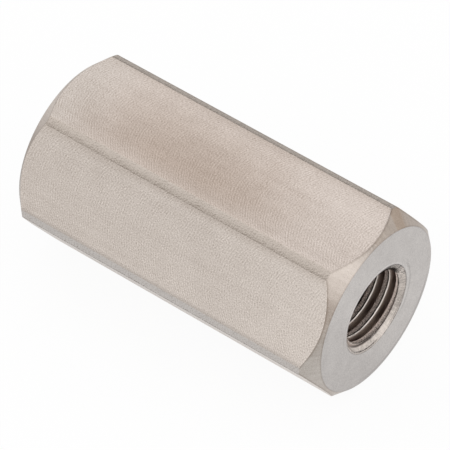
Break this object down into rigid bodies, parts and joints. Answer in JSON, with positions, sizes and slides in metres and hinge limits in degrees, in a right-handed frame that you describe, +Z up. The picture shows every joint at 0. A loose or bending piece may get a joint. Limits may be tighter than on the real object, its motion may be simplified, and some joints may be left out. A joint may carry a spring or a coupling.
{
  "type": "hexagon coupling nut",
  "caption": "Long hexagon nut with a threaded hole right through, which joins threaded rods end to end.",
  "frame": {"origin": "centre of the flat that the nut lies on, under the middle of its length", "axes": "+X along the bore towards the end face that the picture shows, +Z up through the top flat"},
  "size_m": [0.048, 0.027, 0.024],
  "materials": {
    "stainless": "bare stainless steel: face-milled satin flats, turned end faces, bright tapped thread"
  },
  "bodies": {
    "root": {"coupling_nut": "stainless"}
  },
  "joints": []
}
